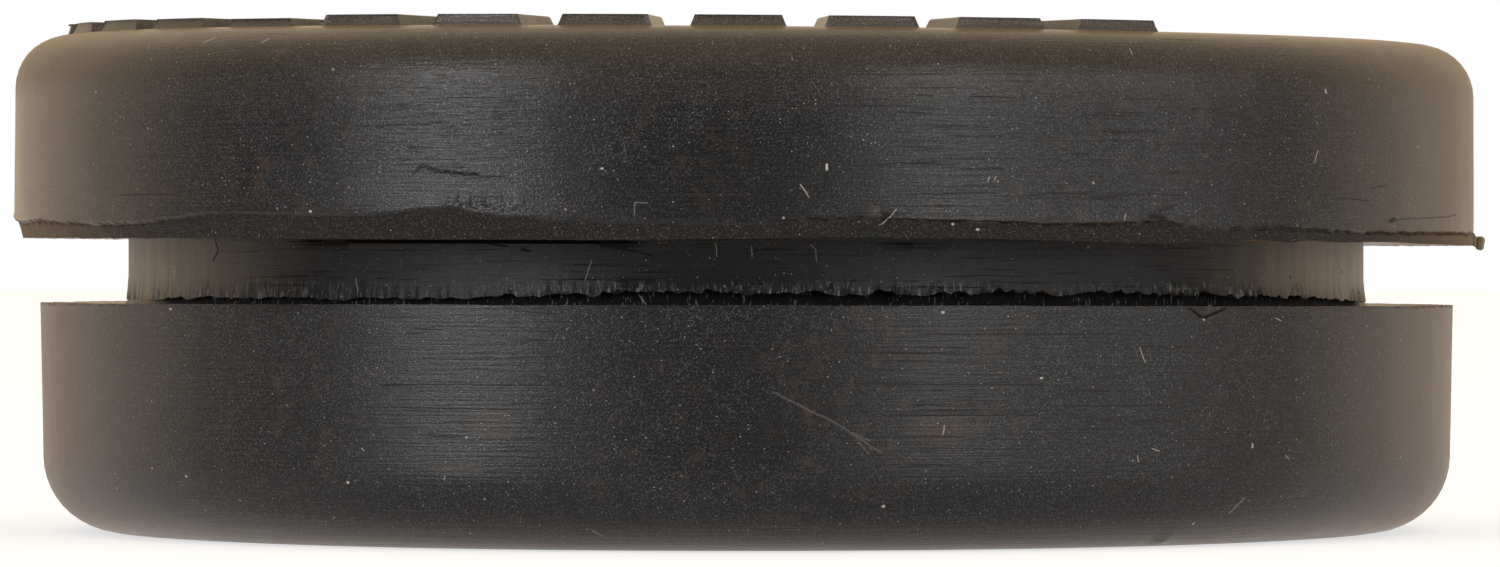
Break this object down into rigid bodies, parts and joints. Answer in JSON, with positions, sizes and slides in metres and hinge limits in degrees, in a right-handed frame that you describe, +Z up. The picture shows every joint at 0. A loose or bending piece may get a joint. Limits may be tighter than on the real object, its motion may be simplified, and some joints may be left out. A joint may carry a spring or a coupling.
{
  "type": "rubber grommet",
  "caption": "Thick moulded rubber grommet with two flanges, a groove for a thin panel and a plain through hole.",
  "frame": {"origin": "centre of the hole, at the flat base of the lower flange", "axes": "+Z up the hole, from the lower flange to the upper flange; -Y is the front"},
  "size_m": [0.0364, 0.0364, 0.0125],
  "materials": {
    "rubber": "semi-matte black moulded rubber with a faint brown bloom"
  },
  "bodies": {
    "root": {"grommet": "rubber"}
  },
  "joints": []
}
